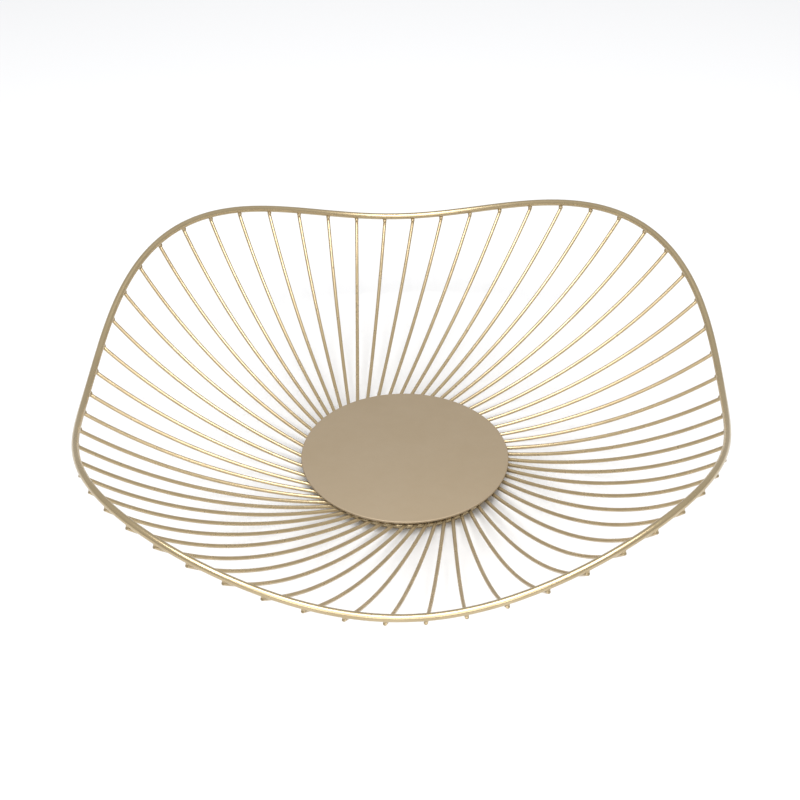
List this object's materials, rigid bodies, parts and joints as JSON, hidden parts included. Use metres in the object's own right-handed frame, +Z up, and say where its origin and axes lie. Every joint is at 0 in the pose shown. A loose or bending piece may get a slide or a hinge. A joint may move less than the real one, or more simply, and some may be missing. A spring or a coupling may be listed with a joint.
{
  "type": "wire produce basket",
  "caption": "Shallow open wire basket for produce: swirled ribs rise from a flat round base plate to a wavy rounded-square rim.",
  "frame": {"origin": "on the table, under the centre of the base plate", "axes": "+Z up; the rim's raised corners stand at 45 degrees to X and Y, and the front of the basket faces -Y"},
  "size_m": [0.2896, 0.3032, 0.0678],
  "materials": {
    "wire_paint": "satin champagne-gold paint on round steel wire",
    "rib_paint": "satin champagne-gold paint on thin round steel wire",
    "plate_paint": "even satin champagne-gold paint on flat sheet steel, with a few specks"
  },
  "bodies": {
    "root": {"base_plate": "plate_paint", "base_ring": "wire_paint", "rim_hoop": "wire_paint", "rib_pair_01": "rib_paint", "rib_pair_02": "rib_paint", "rib_pair_03": "rib_paint", "rib_pair_04": "rib_paint", "rib_pair_05": "rib_paint", "rib_pair_06": "rib_paint", "rib_pair_07": "rib_paint", "rib_pair_08": "rib_paint", "rib_pair_09": "rib_paint", "rib_pair_10": "rib_paint", "rib_pair_11": "rib_paint", "rib_pair_12": "rib_paint", "rib_pair_13": "rib_paint", "rib_pair_14": "rib_paint", "rib_pair_15": "rib_paint", "rib_pair_16": "rib_paint", "rib_pair_17": "rib_paint", "rib_pair_18": "rib_paint", "rib_pair_19": "rib_paint", "rib_pair_20": "rib_paint", "rib_pair_21": "rib_paint", "rib_pair_22": "rib_paint", "rib_pair_23": "rib_paint", "rib_pair_24": "rib_paint", "rib_pair_25": "rib_paint", "rib_pair_26": "rib_paint", "rib_pair_27": "rib_paint", "rib_pair_28": "rib_paint", "rib_pair_29": "rib_paint", "rib_pair_30": "rib_paint"}
  },
  "joints": []
}
